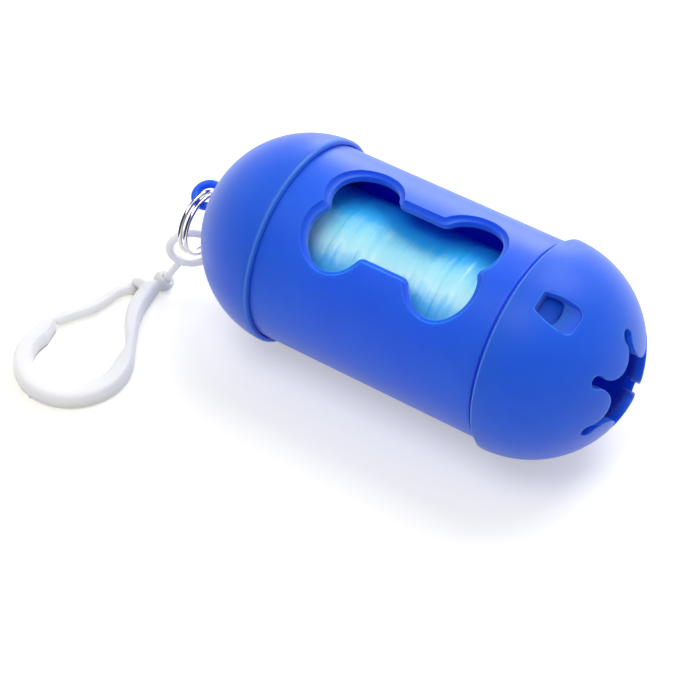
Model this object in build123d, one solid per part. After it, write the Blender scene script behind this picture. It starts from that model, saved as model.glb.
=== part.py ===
from build123d import *
import math
import os

# Pet waste bag dispenser: a round-ended two-cap capsule that holds a roll of bags,
# hung from a split ring and a plastic swivel hook.
# The capsule is drawn along X with its window straight up, then turned and lifted to
# where it lies: the floor is Z = 0, and X = 0 is the middle of the barrel.

# ---- capsule ----
cap_r = 20.0              # outer radius of both domed caps
dome_x = 23.5             # centre of each dome from the middle
cap_wall = 1.7            # wall of the dome
rim_x = 23.4              # rim plane of each cap
rim_depth = 1.5           # how far the barrel enters the rim recess
rim_gap = 0.27            # shadow gap round the barrel inside each rim
rim_chamfer = 0.55        # flash chamfer on the slotted cap's rim
rim_round = 0.75          # soft rim edge of the ring cap
end_gap = 0.1             # barrel's end face to the recess floor

barrel_step = 1.17        # barrel's surface below the caps
barrel_wall = 2.2         # wall of the barrel
neck_wall = 1.0           # wall of the thinner neck that the caps slide on
neck_len = 3.0            # neck beyond the end of the full-size barrel
neck_fit = 0.08           # radial running fit of a cap on its neck
lie_turn = 18.0           # how far the window is turned from straight up

# ---- bone-shaped window ----
lobe_x = 10.6             # centre of each of the four end lobes, along the barrel
lobe_w = 4.1              # and across it
lobe_r = 6.0              # radius of a lobe
band_w = 6.0              # half-width of the bone's waist
window_blend = 1.2        # blend between lobe and waist, and in the end notch
window_lip = 1.1          # rounded outer lip of the window

# ---- snap pockets and tongues ----
pocket_w = 5.7            # width of a pocket in the slotted cap
pocket_depth = 3.6        # pocket's floor below the cap's radius
pocket_start = 4.5        # rim-side wall of the pocket, from the dome's centre
pocket_corner = 0.9       # rounding of the pocket's corners in plan
tongue_w = 4.6            # width of a snap tongue on the neck
tongue_len = 2.2          # tongue's reach past the end of the neck
tongue_drop = 0.3         # top of the tongue below the neck's surface
tongue_t = 0.75           # thickness of a tongue

# ---- star-shaped bag outlet ----
slot_count = 6
slot_reach = 11.2         # outer end of each slot from the axis
slot_half = 0.85          # half-width of a slot at its neck
slot_end = 1.25           # radius of the drop at a slot's outer end
slot_flare = 0.5          # blend between a slot's neck and its drop
petal_tip = 5.9           # rounded petal tips from the axis

# ---- eyelet on the ring cap ----
eyelet_r = 2.5            # middle radius of the eyelet's bead
eyelet_bead = 0.8         # radius of the bead
eyelet_out = 3.3          # hole centre beyond the pole of the dome

# ---- bag roll ----
roll_slack = 2.23         # barrel's inner radius over the roll's radius
roll_len = 60.0           # length of the roll
roll_seat = 0.3           # gap under the roll, where it lies on the barrel
core_r = 6.0              # outer radius of the card core
core_wall = 0.9           # wall of the core
core_fit = 0.05           # radial fit of the roll on its core
wrap_lap = 0.55           # step where the last bag's edge laps the roll
roll_dish = 0.8           # depth of the dished ends of the roll
dish_edge = 2.0           # flat border round each dish

# ---- split ring ----
ring_r = 6.0              # middle radius of the ring
wire_r = 0.4              # radius of its wire
turn_gap = 0.46           # clear gap between its two turns
ring_hang = 0.3           # clearance of the wire over the eyelet's bead
ring_sway = 1.6           # how far the ring hangs out of plumb, degrees
ring_cross = 45.0         # where round the ring its turns cross over, degrees

# ---- swivel eye ----
ball_r = 1.15             # ball at the foot of the eye
ball_dx = -5.2            # ball's centre from the ring's centre
ball_dy = -6.25
loop_dx = -0.49           # middle of the eye's loop from the ring's centre
loop_dy = -2.925
loop_dz = -4.447
eye_roll = 97.9           # turn of the eye about its own stem
eye_len = 7.9             # loop along the stem, to the middle of the strand
eye_wide = 8.5            # loop across the stem, to the middle of the strand
strand_r = 0.75           # radius of the eye's strand
stem_r = 0.62             # radius of the stem at the ball

# ---- hook: its own frame has the ball at the origin and -Y down the hook ----
hook_bearing = 1.1        # how far the hook is turned from straight toward -Y
hook_t = 3.6              # thickness of the hook, which lies on the floor
bow_at = 26.2             # centre of the round bow from the ball's centre
bow_r = 11.2              # outer radius of the bow
bow_bar = 3.6             # width of the bar round the bow
bow_start = 35.0          # where the spine's outside runs into the bow, degrees
bow_inside = 20.0         # where the spine's inside runs into the bow, degrees
nose_inside = 170.0       # where the nose's inside runs into the bow, degrees
spine_out = [(0.4, -1.6), (1.1, -4.8), (2.3, -9.0), (5.3, -14.2)]
spine_in = [(1.9, -14.0), (-0.4, -10.5), (-1.6, -7.0), (-1.95, -4.0), (-1.95, -1.6)]
lead_out = 1.99           # first point of the spine's inside beyond the bow's inner radius
lead_turn = 32.4          # and how far it is turned on from the bow's end, degrees
nose_top = (-9.4, -17.2)  # tip of the nose outside the gate
nose_foot = (-8.8, -21.0) # inside of the nose under the gate's end
nose_bulge = (-10.75, -18.6)
nose_straight = 4.8       # straight outside of the nose above the bow's centre
hook_edge = 0.9           # rounding of the hook's edges
collar_r = 2.05           # outer radius of the collar round the ball
socket_fit = 0.07         # radial fit of the ball in the collar
mouth_half = 50.0         # half-angle of the collar's mouth
mouth_rise = 46.0         # climb of the mouth's middle line

# ---- gate of the hook ----
pivot = (-2.95, -4.1)     # gate's pivot
gate_line = [(-5.2, -6.9), (-5.6, -10.0), (-6.3, -13.5), (-8.2, -17.0), (-9.4, -19.4)]
gate_bar = 1.8            # width of the gate
gate_t = 2.2              # thickness of the gate
gate_side = 0.3           # gap between the gate and the nose
knuckle_r = 1.05          # radius of the gate's knuckle
pin_r = 0.45              # radius of the hook's pivot pin
pin_fit = 0.08            # radial running fit of the knuckle on the pin
ear_r = 1.15              # radius of the ears that carry the pin
ear_gap = 0.15            # side gap between knuckle and ears
gate_edge = 0.4           # rounding of the gate's edges

barrel_r = cap_r - barrel_step
inner_r = barrel_r - barrel_wall
roll_r = inner_r - roll_slack
ring_pitch = 2 * wire_r + turn_gap
collar_z = collar_r       # the collar rests on the floor
neck_r = inner_r + neck_wall
barrel_end = rim_x + rim_depth - end_gap
neck_end = barrel_end + neck_len
axis_z = cap_r
lie = Pos(0, 0, axis_z) * Rot(lie_turn, 0, 0)


def turned(points):
    """Solid of revolution about X from (x, radius) points."""
    outline = Polyline([(x, r, 0) for x, r in points], close=True)
    return revolve(make_face(outline), axis=Axis.X, revolution_arc=360)


def tube(x0, x1, r_out, r_in):
    """Straight tube along X."""
    return turned([(x0, r_in), (x1, r_in), (x1, r_out), (x0, r_out)])


def window_tool():
    """Prism in the shape of the bone, reaching up through the barrel's wall."""
    bone = Rectangle(2 * lobe_x, 2 * band_w)
    for sx in (-1, 1):
        for sy in (-1, 1):
            bone += Pos(sx * lobe_x, sy * lobe_w) * Circle(lobe_r)
    bone = bone.face()
    sharp = [v for v in bone.vertices() if abs(v.X) < lobe_x + lobe_r]
    bone = fillet(sharp, window_blend)
    return extrude(bone, barrel_r + cap_r)


def barrel():
    """Tube with a neck at each end, the bone window and two snap tongues."""
    body = tube(-barrel_end, barrel_end, barrel_r, inner_r)
    body += tube(-neck_end, neck_end, neck_r, inner_r)
    for side in (-1, 1):
        body += snap_tongue(side)
    body -= window_tool()
    rim = [e for e in body.edges() if is_window_lip(e)]
    return fillet(rim, window_lip)


def is_window_lip(edge):
    """True for the outer edges of the window."""
    middle = edge @ 0.5
    reach = math.hypot(middle.Y, middle.Z)
    inside = abs(middle.X) < lobe_x + lobe_r + 1 and middle.Z > 0
    return inside and abs(reach - barrel_r) < 0.01 and edge.geom_type != GeomType.LINE


def snap_tongue(side):
    """Flat tongue that carries on from the neck and shows in a pocket of the slotted cap."""
    top = neck_r - tongue_drop
    root = neck_end - neck_len / 2
    tip = neck_end + tongue_len
    length = tip - root
    slab = Box(length, tongue_w, tongue_t)
    slab = Pos(0, 0, top - tongue_t / 2) * slab
    tips = slab.edges().filter_by(Axis.Z).sort_by(Axis.X)[-2:]
    slab = fillet(tips, tongue_t / 2)
    slab = Pos(root + length / 2, 0, 0) * slab
    return Rot(0 if side > 0 else 180, 0, 0) * slab


def dome_shell(soft_rim):
    """Domed cap toward +X with its neck bore, rim recess and finished rim."""
    inside_r = cap_r - cap_wall
    bore = neck_r + neck_fit
    recess = barrel_r + rim_gap
    floor_x = rim_x + rim_depth
    pole = Vector(dome_x + cap_r, 0)
    rim = Vector(rim_x, math.sqrt(cap_r ** 2 - (dome_x - rim_x) ** 2))
    bore_end = Vector(dome_x + math.sqrt(inside_r ** 2 - bore ** 2), bore)
    diagonal = Vector(math.sqrt(0.5), math.sqrt(0.5))
    centre = Vector(dome_x, 0)
    outside = ThreePointArc(rim, centre + diagonal * cap_r, pole)
    inside = ThreePointArc((dome_x + inside_r, 0), centre + diagonal * inside_r, bore_end)
    step = Polyline(bore_end, (floor_x, bore), (floor_x, recess), (rim_x, recess), rim)
    closing = Line(pole, (dome_x + inside_r, 0))
    profile = make_face([outside, closing, inside, step])
    corner = profile.vertices().sort_by_distance(rim)[0]
    if soft_rim:
        profile = fillet(corner, rim_round)
    else:
        profile = chamfer(corner, rim_chamfer)
    return revolve(profile, axis=Axis.X, revolution_arc=360)


def star():
    """Star outline in the YZ plane: drop-ended slots between broadly rounded petals."""
    bulge = petal_tip - slot_half / math.sin(math.pi / slot_count)
    petal_at = petal_tip + bulge
    foot = petal_at * math.cos(math.pi / slot_count)
    end_at = slot_reach - slot_end
    middle = Circle(math.hypot(foot, slot_half))
    for i in range(slot_count):
        middle -= Rot(0, 0, (i + 0.5) * 360 / slot_count) * Pos(petal_at, 0) * Circle(bulge)
    outline = middle
    for i in range(slot_count):
        arm = Pos(end_at / 2, 0) * Rectangle(end_at, 2 * slot_half)
        arm += Pos(end_at, 0) * Circle(slot_end)
        outline += Rot(0, 0, i * 360 / slot_count) * arm
    neck = math.hypot(end_at - math.sqrt(slot_end ** 2 - slot_half ** 2), slot_half)
    corners = [v for v in outline.vertices() if abs(math.hypot(v.X, v.Y) - neck) < 0.01]
    return fillet(corners, slot_flare) if corners else outline


def pocket_tool(side):
    """Straight channel with a flat floor, open through the dome's outside."""
    length = cap_r
    depth = cap_r
    block = Box(length, pocket_w, depth)
    corners = block.edges().filter_by(Axis.Z).sort_by(Axis.X)[:2]
    block = fillet(corners, pocket_corner)
    floor_z = cap_r - pocket_depth
    block = Pos(dome_x + pocket_start + length / 2, 0, floor_z + depth / 2) * block
    return Rot(0 if side > 0 else 180, 0, 0) * block


def slotted_cap():
    """Cap with the star outlet at its pole and a snap pocket on each side."""
    shell = dome_shell(False)
    cutter = Rot(0, 90, 0) * extrude(Rot(0, 0, 360 / slot_count / 2) * star(), dome_x + 2 * cap_r)
    shell -= cutter
    for side in (-1, 1):
        shell -= pocket_tool(side)
    return shell


def ring_cap():
    """Plain domed cap toward -X with a beaded eyelet at its pole."""
    shell = dome_shell(True)
    shell = Rot(0, 0, 180) * shell
    pole = dome_x + cap_r
    hole_x = -(pole + eyelet_out)
    eyelet = Pos(hole_x, 0, 0) * Torus(eyelet_r, eyelet_bead)
    web_len = eyelet_out - eyelet_r + cap_wall / 2
    web = Pos(-(pole - cap_wall / 2 + web_len / 2), 0, 0) * Box(web_len, 2 * eyelet_r, 2 * eyelet_bead)
    web = fillet(web.edges().filter_by(Axis.X), eyelet_bead * 0.9)
    web -= Pos(hole_x, 0, 0) * Cylinder(eyelet_r, 4 * eyelet_bead)
    return shell + web + eyelet


def roll_axis_z():
    """Height of the roll's axis when it lies on the bottom of the barrel."""
    return axis_z - (inner_r - roll_seat - roll_r)


def bag_roll():
    """Roll of bags: round wrap with one lapped edge, dished ends and a bore for the core."""
    body = Rot(0, 90, 0) * Cylinder(roll_r - wrap_lap, roll_len)
    lap = Rot(0, 90, 0) * Cylinder(roll_r - wrap_lap / 2, roll_len)
    body += Pos(0, 0, -wrap_lap / 2) * lap
    bore = Rot(0, 90, 0) * Cylinder(core_r + core_fit, roll_len * 2)
    for end in (-1, 1):
        dish = Cone(roll_r - dish_edge, core_r, roll_dish)
        body -= Pos(end * (roll_len / 2 - roll_dish / 2), 0, 0) * Rot(0, -90 * end, 0) * dish
    return Pos(0, 0, roll_axis_z()) * (body - bore)


def roll_core():
    """Card tube on which the bags are wound."""
    return Pos(0, 0, roll_axis_z()) * tube(-roll_len / 2, roll_len / 2, core_r, core_r - core_wall)


def biarc(p0, t0, p1, t1):
    """Two arcs from p0 to p1 that leave along t0 and arrive along t1."""
    span = p1 - p0
    both = t0 + t1
    a = 2 * (1 - t0.dot(t1))
    b = 2 * span.dot(both)
    c = -span.dot(span)
    if abs(a) < 1e-9:
        d = -c / b
    else:
        d = (-b + math.sqrt(b * b - 4 * a * c)) / (2 * a)
    q0 = p0 + t0 * d
    q1 = p1 - t1 * d
    middle = (q0 + q1) * 0.5
    return [TangentArc([p0, middle], tangent=t0), TangentArc([middle, p1], tangent=q1 - q0)]


def ring_point(turn):
    """Point and direction on the ring's two turns, with the crossing in one quarter."""
    lap = turn % 360
    if turn <= 270:
        side = 0.5
    elif turn >= 360:
        side = -0.5
    else:
        side = 0.5 - (turn - 270) / 90
    a = math.radians(lap)
    point = Vector(side * ring_pitch, ring_r * math.cos(a), ring_r * math.sin(a))
    direction = Vector(0, -math.sin(a), math.cos(a))
    return point, direction


def ring_clear():
    """Least gap between the two turns, measured on points a half turn or more apart."""
    steps = range(0, 631, 5)
    middles = [ring_point(turn)[0] for turn in steps]
    least = ring_r
    for i, first in enumerate(middles):
        for second in middles[i + 36:]:
            least = min(least, (second - first).length - 2 * wire_r)
    return least


def ring_place():
    """Where the ring hangs: under the bead of the eyelet that carries it."""
    turn = math.radians(lie_turn)
    hole_x = -(dome_x + cap_r + eyelet_out)
    bead_y = -eyelet_r * math.cos(turn)
    bead_z = axis_z - eyelet_r * math.sin(turn)
    drop = ring_r - wire_r - eyelet_bead - ring_hang
    sway = math.radians(ring_sway)
    return Vector(hole_x, bead_y + drop * math.sin(sway), bead_z - drop * math.cos(sway))


def split_ring():
    """Wire ring of two side-by-side turns that cross over in one quarter."""
    stops = [0, 90, 180, 270, 360, 450, 540, 630]
    pieces = []
    for start, stop in zip(stops[:-1], stops[1:]):
        p0, t0 = ring_point(start)
        p1, t1 = ring_point(stop)
        pieces += biarc(p0, t0, p1, t1)
    path = Wire(pieces)
    first, along = ring_point(0)
    section = Plane(first, z_dir=along) * Circle(wire_r)
    wire = sweep(section, path=path)
    return Pos(ring_place()) * Rot(ring_cross, 0, 0) * wire


def ball_place():
    """Centre of the ball: beside the ring, in a collar that rests on the floor."""
    ring = ring_place()
    return Vector(ring.X + ball_dx, ring.Y + ball_dy, collar_z)


def eye_reach():
    """From the ball's centre to the middle of the eye's loop, which hangs in the ring."""
    return ring_place() + Vector(loop_dx, loop_dy, loop_dz) - ball_place()


def eye_frame():
    """Plane at the ball's centre: Z up the stem, X across the eye."""
    stem = eye_reach().normalized()
    level = stem.cross(Vector(0, 0, 1)).normalized()
    upper = stem.cross(level)
    roll = math.radians(eye_roll)
    across = level * math.cos(roll) + upper * math.sin(roll)
    return Plane(ball_place(), x_dir=across, z_dir=stem)


def swivel_eye():
    """Oval eye on a short stem with a ball at its foot."""
    half_w = eye_wide / 2
    half_l = eye_len / 2
    centre = eye_reach().length
    stem_len = centre - half_l
    loop = Wire(Plane.XZ * Pos(0, centre) * Ellipse(half_w, half_l).edge())
    start = loop @ 0
    heading = loop % 0
    eye = sweep(Plane(start, z_dir=heading) * Circle(strand_r), path=loop)
    stem = Pos(0, 0, (stem_len + ball_r / 2) / 2) * Cylinder(stem_r, stem_len - ball_r / 2)
    eye += stem
    eye += Sphere(ball_r)
    return eye_frame().location * eye


def hook_place():
    """Hook's own frame: origin at the ball's centre, -Y down the hook, on the floor."""
    return Pos(ball_place()) * Rot(0, 0, -hook_bearing)


def pear():
    """Outline of the hook with its nose whole, in the hook's own frame."""
    middle = (0, -bow_at)
    bow_in = bow_r - bow_bar
    outer = CenterArc(middle, bow_r, bow_start, -(180 + bow_start))
    inner = CenterArc(middle, bow_in, nose_inside, 360 + bow_inside - nose_inside)
    flank = Spline(spine_out + [outer @ 0], tangents=[Vector(0, -1), outer % 0])
    side = Line(outer @ 1, (-bow_r, -bow_at + nose_straight))
    lip = ThreePointArc(side @ 1, nose_bulge, nose_top)
    seam = Line(nose_top, nose_foot)
    under = Line(nose_foot, inner @ 0)
    lead = Vector(bow_in + lead_out, 0).rotate(Axis.Z, bow_inside + lead_turn)
    lead += Vector(*middle)
    back = Spline([inner @ 1, lead] + spine_in, tangents=[inner % 1, Vector(0, 1)])
    neck = Line(back @ 1, flank @ 0)
    return make_face([flank, outer, side, lip, seam, under, inner, back, neck])


def gate_outline(extra):
    """Outline of the gate, grown all round by extra."""
    line = Spline([pivot] + gate_line)
    bar = trace(line, gate_bar + 2 * extra)
    bar += Pos(*gate_line[-1]) * Circle(gate_bar / 2 + extra)
    return bar + Pos(*pivot) * Circle(knuckle_r + extra)


def gate_middle():
    """Height of the middle of the hook's thickness above the ball's centre."""
    return hook_t / 2 - collar_z


def is_hook_rim(edge):
    """True for the hook's rims, apart from the neck and the nose's side of the gate."""
    on_face = abs(edge.center().Z - gate_middle()) > hook_t / 2 - 0.01
    outside = edge.center().X < 0.01 - bow_r
    return on_face and (outside or edge.geom_type != GeomType.LINE)


def hook_frame():
    """Pear-shaped hook with a ball collar, a nose and two ears for the gate."""
    plate = Pos(0, 0, -collar_z) * extrude(pear(), hook_t)
    plate = fillet([e for e in plate.edges() if is_hook_rim(e)], hook_edge)
    room = gate_t + 2 * ear_gap
    plate -= Pos(0, 0, gate_middle() - room / 2) * extrude(gate_outline(gate_side), room)
    ear_t = (hook_t - room) / 2
    for side in (-1, 1):
        lift = gate_middle() + side * (hook_t - ear_t) / 2
        plate += Pos(pivot[0], pivot[1], lift) * ear(ear_t)
    plate += Pos(pivot[0], pivot[1], gate_middle()) * Cylinder(pin_r, hook_t - ear_t)
    collar = Sphere(collar_r) - Sphere(ball_r + socket_fit) - mouth_tool()
    plate -= Sphere(collar_r)
    return plate + collar


def ear(thickness):
    """One rounded ear that reaches from the pivot into the neck."""
    reach = spine_in[-2][0] - pivot[0] + ear_r / 2
    web = Pos(reach / 2, 0) * Rectangle(reach, 2 * ear_r)
    outline = Circle(ear_r) + web
    return Pos(0, 0, -thickness / 2) * extrude(outline, thickness)


def mouth_tool():
    """Cone that opens the collar for the eye's stem."""
    reach = 2 * collar_r
    cone = Cone(0.001, reach * math.tan(math.radians(mouth_half)), reach)
    reach_to = eye_reach()
    bearing = math.degrees(math.atan2(reach_to.X, reach_to.Y)) + hook_bearing
    lean = Rot(0, 0, -bearing) * Rot(mouth_rise - 90, 0, 0)
    return lean * Pos(0, 0, reach / 2) * cone


def hook_gate():
    """Springy gate that turns on the hook's pin and closes inside the nose."""
    gate = Pos(0, 0, gate_middle() - gate_t / 2) * extrude(gate_outline(0), gate_t)
    rims = [e for e in gate.edges() if abs(e.center().Z - gate_middle()) > gate_t / 2 - 0.01]
    gate = fillet(rims, gate_edge)
    bore = Pos(pivot[0], pivot[1], gate_middle()) * Cylinder(pin_r + pin_fit, 2 * hook_t)
    return gate - bore


def write(name, solid):
    """Write one node."""
    export_step(solid, "parts/" + name + ".step")


def main():
    os.makedirs("parts", exist_ok=True)
    write("barrel", lie * barrel())
    write("slotted_cap", lie * slotted_cap())
    write("ring_cap", lie * ring_cap())
    write("bag_roll", bag_roll())
    write("roll_core", roll_core())
    write("split_ring", split_ring())
    print("least gap between the ring's turns:", round(ring_clear(), 3), "mm")
    write("swivel_eye", swivel_eye())
    write("hook_frame", hook_place() * hook_frame())
    write("hook_gate", hook_place() * hook_gate())


main()
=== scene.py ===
# %% [markdown]
# # A pet waste bag dispenser
# The object is a blue plastic capsule with a roll of bags inside, hung from a steel split
# ring and a white swivel hook. The frame holds the same parts as plain CAD solids. Each is
# replaced here by a finer mesh of the same size, in the same place.

# %% Load the frame
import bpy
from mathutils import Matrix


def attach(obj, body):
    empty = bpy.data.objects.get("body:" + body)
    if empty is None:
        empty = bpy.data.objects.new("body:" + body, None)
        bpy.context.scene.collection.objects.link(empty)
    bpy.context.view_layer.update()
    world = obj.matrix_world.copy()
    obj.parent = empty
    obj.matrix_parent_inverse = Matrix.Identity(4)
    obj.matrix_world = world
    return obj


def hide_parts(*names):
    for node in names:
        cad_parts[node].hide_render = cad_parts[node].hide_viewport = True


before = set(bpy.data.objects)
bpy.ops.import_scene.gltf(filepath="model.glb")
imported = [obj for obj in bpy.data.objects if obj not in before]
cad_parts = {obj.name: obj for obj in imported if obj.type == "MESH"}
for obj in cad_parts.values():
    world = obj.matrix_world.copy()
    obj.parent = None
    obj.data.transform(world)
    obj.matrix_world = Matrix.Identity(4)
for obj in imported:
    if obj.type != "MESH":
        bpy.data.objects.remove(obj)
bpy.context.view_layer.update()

# %% Modules
import math
from math import asin, atan2, copysign, cos, hypot, pi, radians, sin, sqrt, tan, tanh, tau

import bmesh
import bpy
from mathutils import Matrix, Vector, noise
from mathutils.geometry import interpolate_bezier

scene = bpy.context.scene

# %% [markdown]
# ## Camera and studio
# The photograph was taken from above, with a long lens, on a white table. A long lens keeps
# the capsule's sides nearly parallel. The camera is placed by its position and by the
# direction it looks in, and it is given no shift.

# %% Camera
image_side = 700
focal_px = 2305.34
sensor_mm = 36.0
look_from = Vector((0.16024, -0.25383, 0.30006))
look_along = -Vector((0.40508, -0.58755, 0.70049))

camera_data = bpy.data.cameras.new("camera")
camera_data.sensor_width = sensor_mm
camera_data.lens = focal_px / image_side * sensor_mm
camera_data.clip_start = 0.01
camera = bpy.data.objects.new("camera", camera_data)
scene.collection.objects.link(camera)
turned = look_along.to_track_quat("-Z", "Y").to_matrix().to_4x4()
camera.matrix_world = Matrix.Translation(look_from) @ turned
scene.camera = camera
scene.view_settings.view_transform = "Standard"
print("lens", round(camera_data.lens, 2), "mm")

# %% [markdown]
# ## Shader sums
# A material's detail is arithmetic on noise. A small class wraps a node's output, so that
# `1 - speckle * 0.3` in Python adds the Math nodes. Every other node comes from one method.

# %% A socket that can be used in sums
class Value:
    """A node's output. Each sum adds a Math node, and add() makes any other node."""

    def __init__(self, tree, socket=None):
        self.tree = tree
        self.socket = socket

    def add(self, kind, settings=None, values=None, output=0):
        node = self.tree.nodes.new(kind)
        for name, setting in (settings or {}).items():
            if name == "stops":
                set_stops(node.color_ramp, setting)
            else:
                setattr(node, name, setting)
        for name, value in (values or {}).items():
            if isinstance(value, Value):
                self.tree.links.new(value.socket, node.inputs[name])
            else:
                node.inputs[name].default_value = value
        return Value(self.tree, node.outputs[output] if len(node.outputs) else None)

    def math(self, operation, first, second):
        return self.add("ShaderNodeMath", {"operation": operation}, {0: first, 1: second})

    def __add__(self, other):
        return self.math("ADD", self, other)

    def __sub__(self, other):
        return self.math("SUBTRACT", self, other)

    def __rsub__(self, other):
        return self.math("SUBTRACT", other, self)

    def __mul__(self, other):
        return self.math("MULTIPLY", self, other)

    __radd__ = __add__
    __rmul__ = __mul__


def set_stops(ramp, stops):
    """Gives a colour ramp its stops, from (place, colour) pairs."""
    while len(ramp.elements) < len(stops):
        ramp.elements.new(1.0)
    for element, (place, colour) in zip(ramp.elements, stops):
        element.position = place
        element.color = colour


def grey(level):
    """An opaque grey colour."""
    return (level, level, level, 1.0)


print("operators:", [name for name in dir(Value) if name.startswith("__r")])

# %% A material, its pattern helpers and its last node
def new_material(name):
    """An empty node material, as a Value that its nodes are added to."""
    material = bpy.data.materials.new(name)
    material.use_nodes = True
    material.node_tree.nodes.clear()
    return material, Value(material.node_tree)


even = (1.0, 1.0, 1.0)


def stretched(tree, scale, turn=(0.0, 0.0, 0.0)):
    """Object coordinates, turned and then stretched."""
    place = tree.add("ShaderNodeTexCoord", output=3)
    turned_place = tree.add("ShaderNodeMapping", values={"Vector": place, "Rotation": turn})
    return tree.add("ShaderNodeMapping", values={"Vector": turned_place, "Scale": scale})


def cloud(tree, place, scale, detail=3.0, roughness=0.5):
    """Noise, about 0.5 on average."""
    values = {"Vector": place, "Scale": scale, "Detail": detail, "Roughness": roughness}
    return tree.add("ShaderNodeTexNoise", values=values)


def between(tree, value, low, high):
    """Stretches a part of a value's range to 0..1, and clamps it."""
    values = {"Value": value, "From Min": low, "From Max": high}
    return tree.add("ShaderNodeMapRange", values=values)


def blend_colours(tree, amount, first, second):
    """One colour where amount is 0 and another where it is 1."""
    values = {0: amount, 6: first, 7: second}
    return tree.add("ShaderNodeMix", {"data_type": "RGBA"}, values, output=2)


def bump(tree, height, depth):
    """A normal from a height field; depth is in metres."""
    values = {"Height": height, "Strength": 1.0, "Distance": depth}
    return tree.add("ShaderNodeBump", values=values)


def surface(tree, values):
    """Principled shader with the given sockets, joined to the material's output."""
    shader = tree.add("ShaderNodeBsdfPrincipled", values=values)
    tree.add("ShaderNodeOutputMaterial", values={"Surface": shader})


print("helpers ready")

# %% [markdown]
# ## Floor and background
# The table is white, and the object's soft shadow lies on it. A white floor under a plain
# light renders as pale grey, so the camera, and mirrors, see a little glow added to it. The
# glow lights nothing else. It is a little warm, which evens out the blue that the capsule
# throws into its own shadow.

# %% Floor
def seen_directly(tree):
    """1 for rays from the camera, from mirrors and through glass, otherwise 0."""
    camera_ray = tree.add("ShaderNodeLightPath", output=0)
    glossy_ray = tree.add("ShaderNodeLightPath", output=3)
    clear_ray = tree.add("ShaderNodeLightPath", output=6)
    indirect = glossy_ray.math("MAXIMUM", glossy_ray, clear_ray)
    return camera_ray.math("MAXIMUM", camera_ray, indirect)


floor_glow = 0.42
glow_tone = (1.0, 0.99, 0.85, 1.0)
floor_tone = (0.80, 0.795, 0.80, 1.0)
floor_half = 3.0
floor_material, tree = new_material("white_table")
matte = tree.add("ShaderNodeBsdfDiffuse", values={"Color": floor_tone})
glow = {"Color": glow_tone, "Strength": seen_directly(tree) * floor_glow}
lamp_free = tree.add("ShaderNodeEmission", values=glow)
both = tree.add("ShaderNodeAddShader", values={0: matte, 1: lamp_free})
tree.add("ShaderNodeOutputMaterial", values={"Surface": both})

floor_bm = bmesh.new()
bmesh.ops.create_grid(floor_bm, x_segments=1, y_segments=1, size=floor_half)
floor_mesh = bpy.data.meshes.new("floor")
floor_bm.to_mesh(floor_mesh)
floor_bm.free()
floor_mesh.materials.append(floor_material)
floor = bpy.data.objects.new("floor", floor_mesh)
scene.collection.objects.link(floor)
print("floor", floor.dimensions[:])

# %% World
world_light = 0.40
world = bpy.data.worlds.new("studio")
world.use_nodes = True
world.node_tree.nodes.clear()
scene.world = world
sky = Value(world.node_tree)
level = seen_directly(sky) * (1.0 - world_light) + world_light
background = sky.add("ShaderNodeBackground", values={"Color": grey(1.0), "Strength": level})
sky.add("ShaderNodeOutputWorld", values={"Surface": background})
print("world light", world_light)

# %% [markdown]
# ## Lamps
# The shadow falls toward the camera and the window's far edge shades the roll, so the main
# light is a large soft panel above and behind. A weaker panel fills the front, and a low one
# behind the ring cap lights the capsule's upper left.

# %% Lamps
def panel(name, place, target, size, power):
    """A square area light aimed at a target: places and size in metres, power in watts."""
    lamp = bpy.data.lights.new(name, "AREA")
    lamp.shape = "SQUARE"
    lamp.size = size
    lamp.energy = power
    holder = bpy.data.objects.new(name, lamp)
    aim = (Vector(target) - Vector(place)).to_track_quat("-Z", "Y").to_matrix().to_4x4()
    holder.matrix_world = Matrix.Translation(place) @ aim
    scene.collection.objects.link(holder)


panel("key_panel", (0.10, 0.62, 1.05), (0, 0, 0.02), 0.7, 7.0)
panel("front_panel", (-0.08, -0.45, 1.15), (0, 0, 0.02), 0.6, 4.1)
panel("back_panel", (-0.45, 1.10, 0.36), (0, 0, 0.03), 0.6, 5.2)

# %% [markdown]
# ## Drawing outlines
# Every part here starts as a flat outline in millimetres: lines, arcs and smooth curves. An
# arc is a vertex spun round a centre, and a smooth curve runs through its points like a
# bent strip of steel. From the outline, a lathe or a thick plate takes one more operator.

# %% Small helpers
MM = 0.001
weld = 0.001
x_axis = Vector((1, 0, 0))
y_axis = Vector((0, 1, 0))
z_axis = Vector((0, 0, 1))
shift = Matrix.Translation


def turned_on(axis, angle):
    """A turn about one of the three axes."""
    return Matrix.Rotation(angle, 4, axis)


def verts_of(parts):
    """The vertices among an operator's results."""
    return [part for part in parts if isinstance(part, bmesh.types.BMVert)]


def edges_of(parts):
    """The edges among an operator's results."""
    return [part for part in parts if isinstance(part, bmesh.types.BMEdge)]


def rounded(bm, parts, offset, segments, affect="EDGES"):
    """Rounds edges or corners off, and returns what the bevel made."""
    return bmesh.ops.bevel(bm, geom=parts, offset=offset, segments=segments, profile=0.5,
                           affect=affect, material=-1)


def fill(bm, edges):
    """Fills an outline with one flat face that faces up."""
    face = bmesh.ops.contextual_create(bm, geom=edges)["faces"][0]
    face.normal_update()
    if face.normal.z < 0:
        face.normal_flip()
    return face


def welded(bm, gap=weld):
    """Merges the points that lie closer than a gap."""
    bmesh.ops.remove_doubles(bm, verts=bm.verts, dist=gap)


def mirrored(bm, axis):
    """Adds a mesh's mirror image and welds the two."""
    shape = bm.verts[:] + bm.edges[:] + bm.faces[:]
    bmesh.ops.mirror(bm, geom=shape, axis=axis, merge_dist=weld)


def full_turn(bm, axis, steps):
    """Spins an outline a full turn round an axis through the origin."""
    shape = bm.verts[:] + bm.edges[:]
    bmesh.ops.spin(bm, geom=shape, axis=axis, angle=tau, steps=steps, use_merge=True)


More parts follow.
